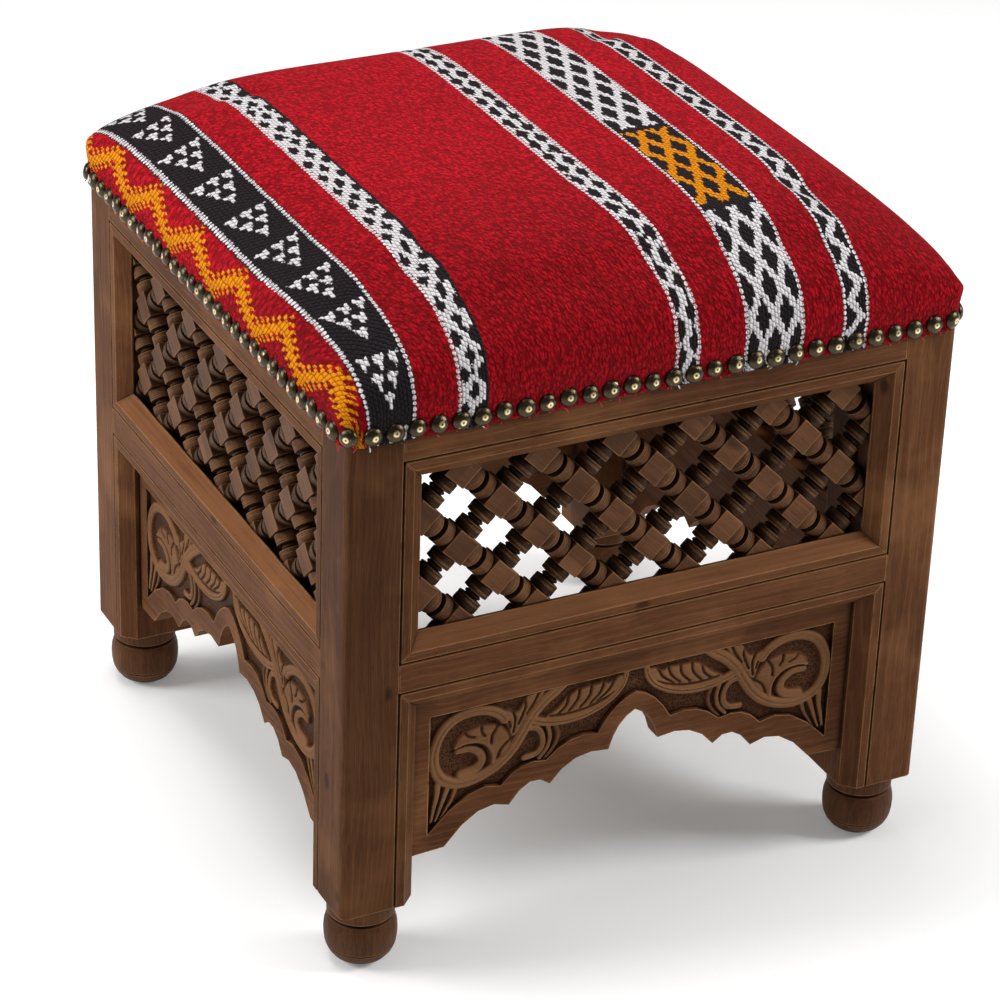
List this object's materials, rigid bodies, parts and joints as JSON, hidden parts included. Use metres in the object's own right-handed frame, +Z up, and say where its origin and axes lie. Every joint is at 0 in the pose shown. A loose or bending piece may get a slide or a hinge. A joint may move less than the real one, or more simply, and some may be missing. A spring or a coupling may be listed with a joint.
{
  "type": "square upholstered stool",
  "caption": "Square wooden stool with moulded posts on bun feet, turned lattice panels, scalloped carved aprons and a padded seat under a striped flat-woven rug.",
  "frame": {"origin": "on the floor, under the middle of the stool", "axes": "+Z up; the front side, the broader one in the picture, faces -Y; +X to its right"},
  "size_m": [0.406, 0.406, 0.447],
  "materials": {
    "post_wood": "stained and waxed, satin",
    "foot_wood": "stained and waxed, satin",
    "rail_wood": "stained and waxed, satin",
    "lattice_wood": "stained and waxed, satin",
    "apron_wood": "stained and waxed, satin",
    "bare_pine": "bare",
    "foam": "open-cell foam, matt",
    "wool_rug": "flat-woven wool, matt"
  },
  "bodies": {
    "root": {"post_front_left": "post_wood", "bun_foot_front_left": "foot_wood", "post_front_right": "post_wood", "bun_foot_front_right": "foot_wood", "post_back_right": "post_wood", "bun_foot_back_right": "foot_wood", "post_back_left": "post_wood", "bun_foot_back_left": "foot_wood", "top_rail_front": "rail_wood", "mid_rail_front": "rail_wood", "lattice_front": "lattice_wood", "carved_apron_front": "apron_wood", "seat_cleat_front": "bare_pine", "top_rail_right": "rail_wood", "mid_rail_right": "rail_wood", "lattice_right": "lattice_wood", "carved_apron_right": "apron_wood", "seat_cleat_right": "bare_pine", "top_rail_back": "rail_wood", "mid_rail_back": "rail_wood", "lattice_back": "lattice_wood", "carved_apron_back": "apron_wood", "seat_cleat_back": "bare_pine", "top_rail_left": "rail_wood", "mid_rail_left": "rail_wood", "lattice_left": "lattice_wood", "carved_apron_left": "apron_wood", "seat_cleat_left": "bare_pine", "seat_board": "bare_pine", "foam_pad": "foam", "rug_cover": "wool_rug"}
  },
  "joints": []
}
